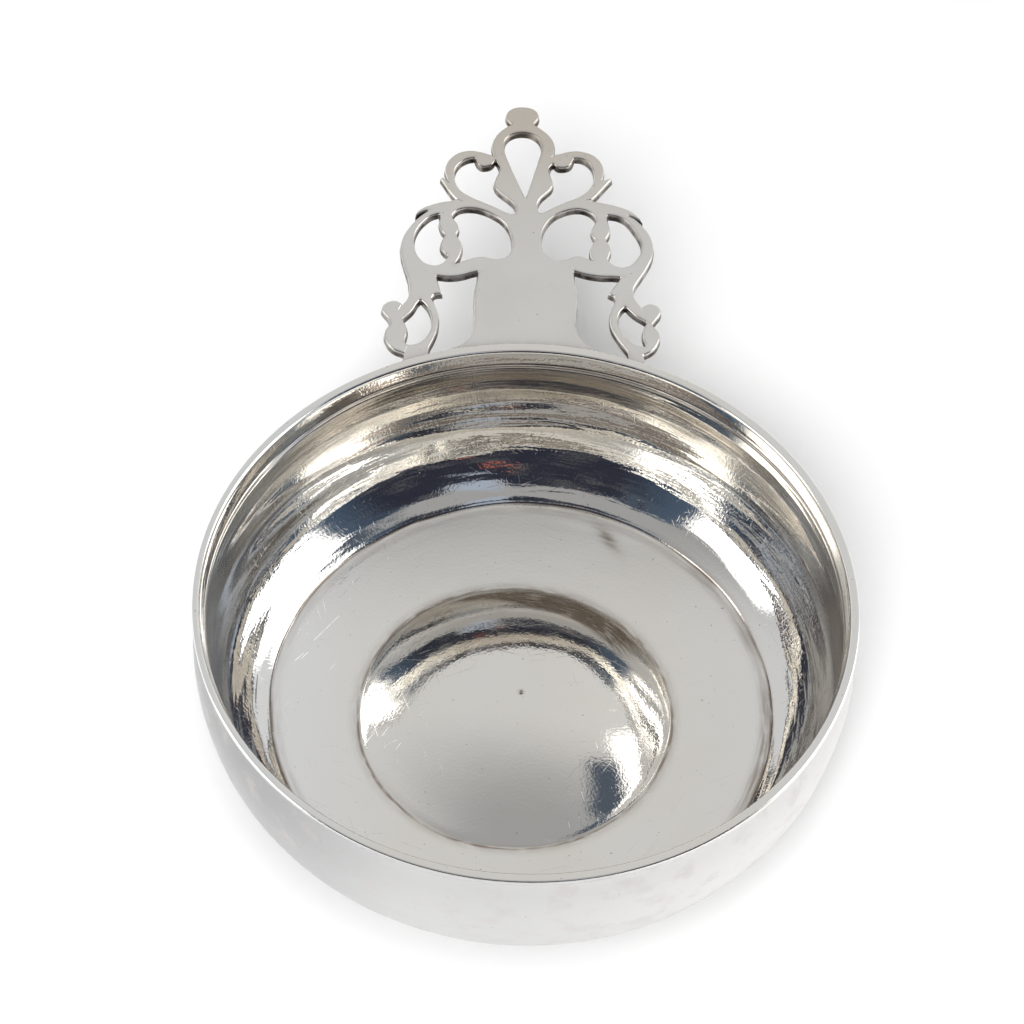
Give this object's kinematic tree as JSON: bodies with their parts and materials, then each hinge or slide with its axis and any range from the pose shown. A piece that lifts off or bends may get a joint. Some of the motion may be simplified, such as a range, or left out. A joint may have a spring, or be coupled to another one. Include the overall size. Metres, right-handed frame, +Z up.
{
  "type": "porringer",
  "caption": "Shallow round silver bowl with a flat rim, bellied wall, domed floor centre and a flat pierced scrollwork handle soldered to the rim; holds food or drink.",
  "frame": {"origin": "on the surface the bowl stands on, under the middle of the whole object's box", "axes": "+Z up; +Y from the bowl towards the tip of the handle; +X to the right of someone facing along +Y"},
  "size_m": [0.1328, 0.202, 0.0473],
  "materials": {
    "silver_bowl": "hand-hammered silver, polished, with fine scratches and light tarnish in the creases",
    "silver_handle": "cast silver, filed and polished flat, darker in the pierced edges",
    "solder": "hard silver solder, dull, slightly pink"
  },
  "bodies": {
    "root": {"bowl": "silver_bowl", "handle": "silver_handle", "solder_seam_centre": "solder", "solder_seam_left": "solder", "solder_seam_right": "solder"}
  },
  "joints": []
}
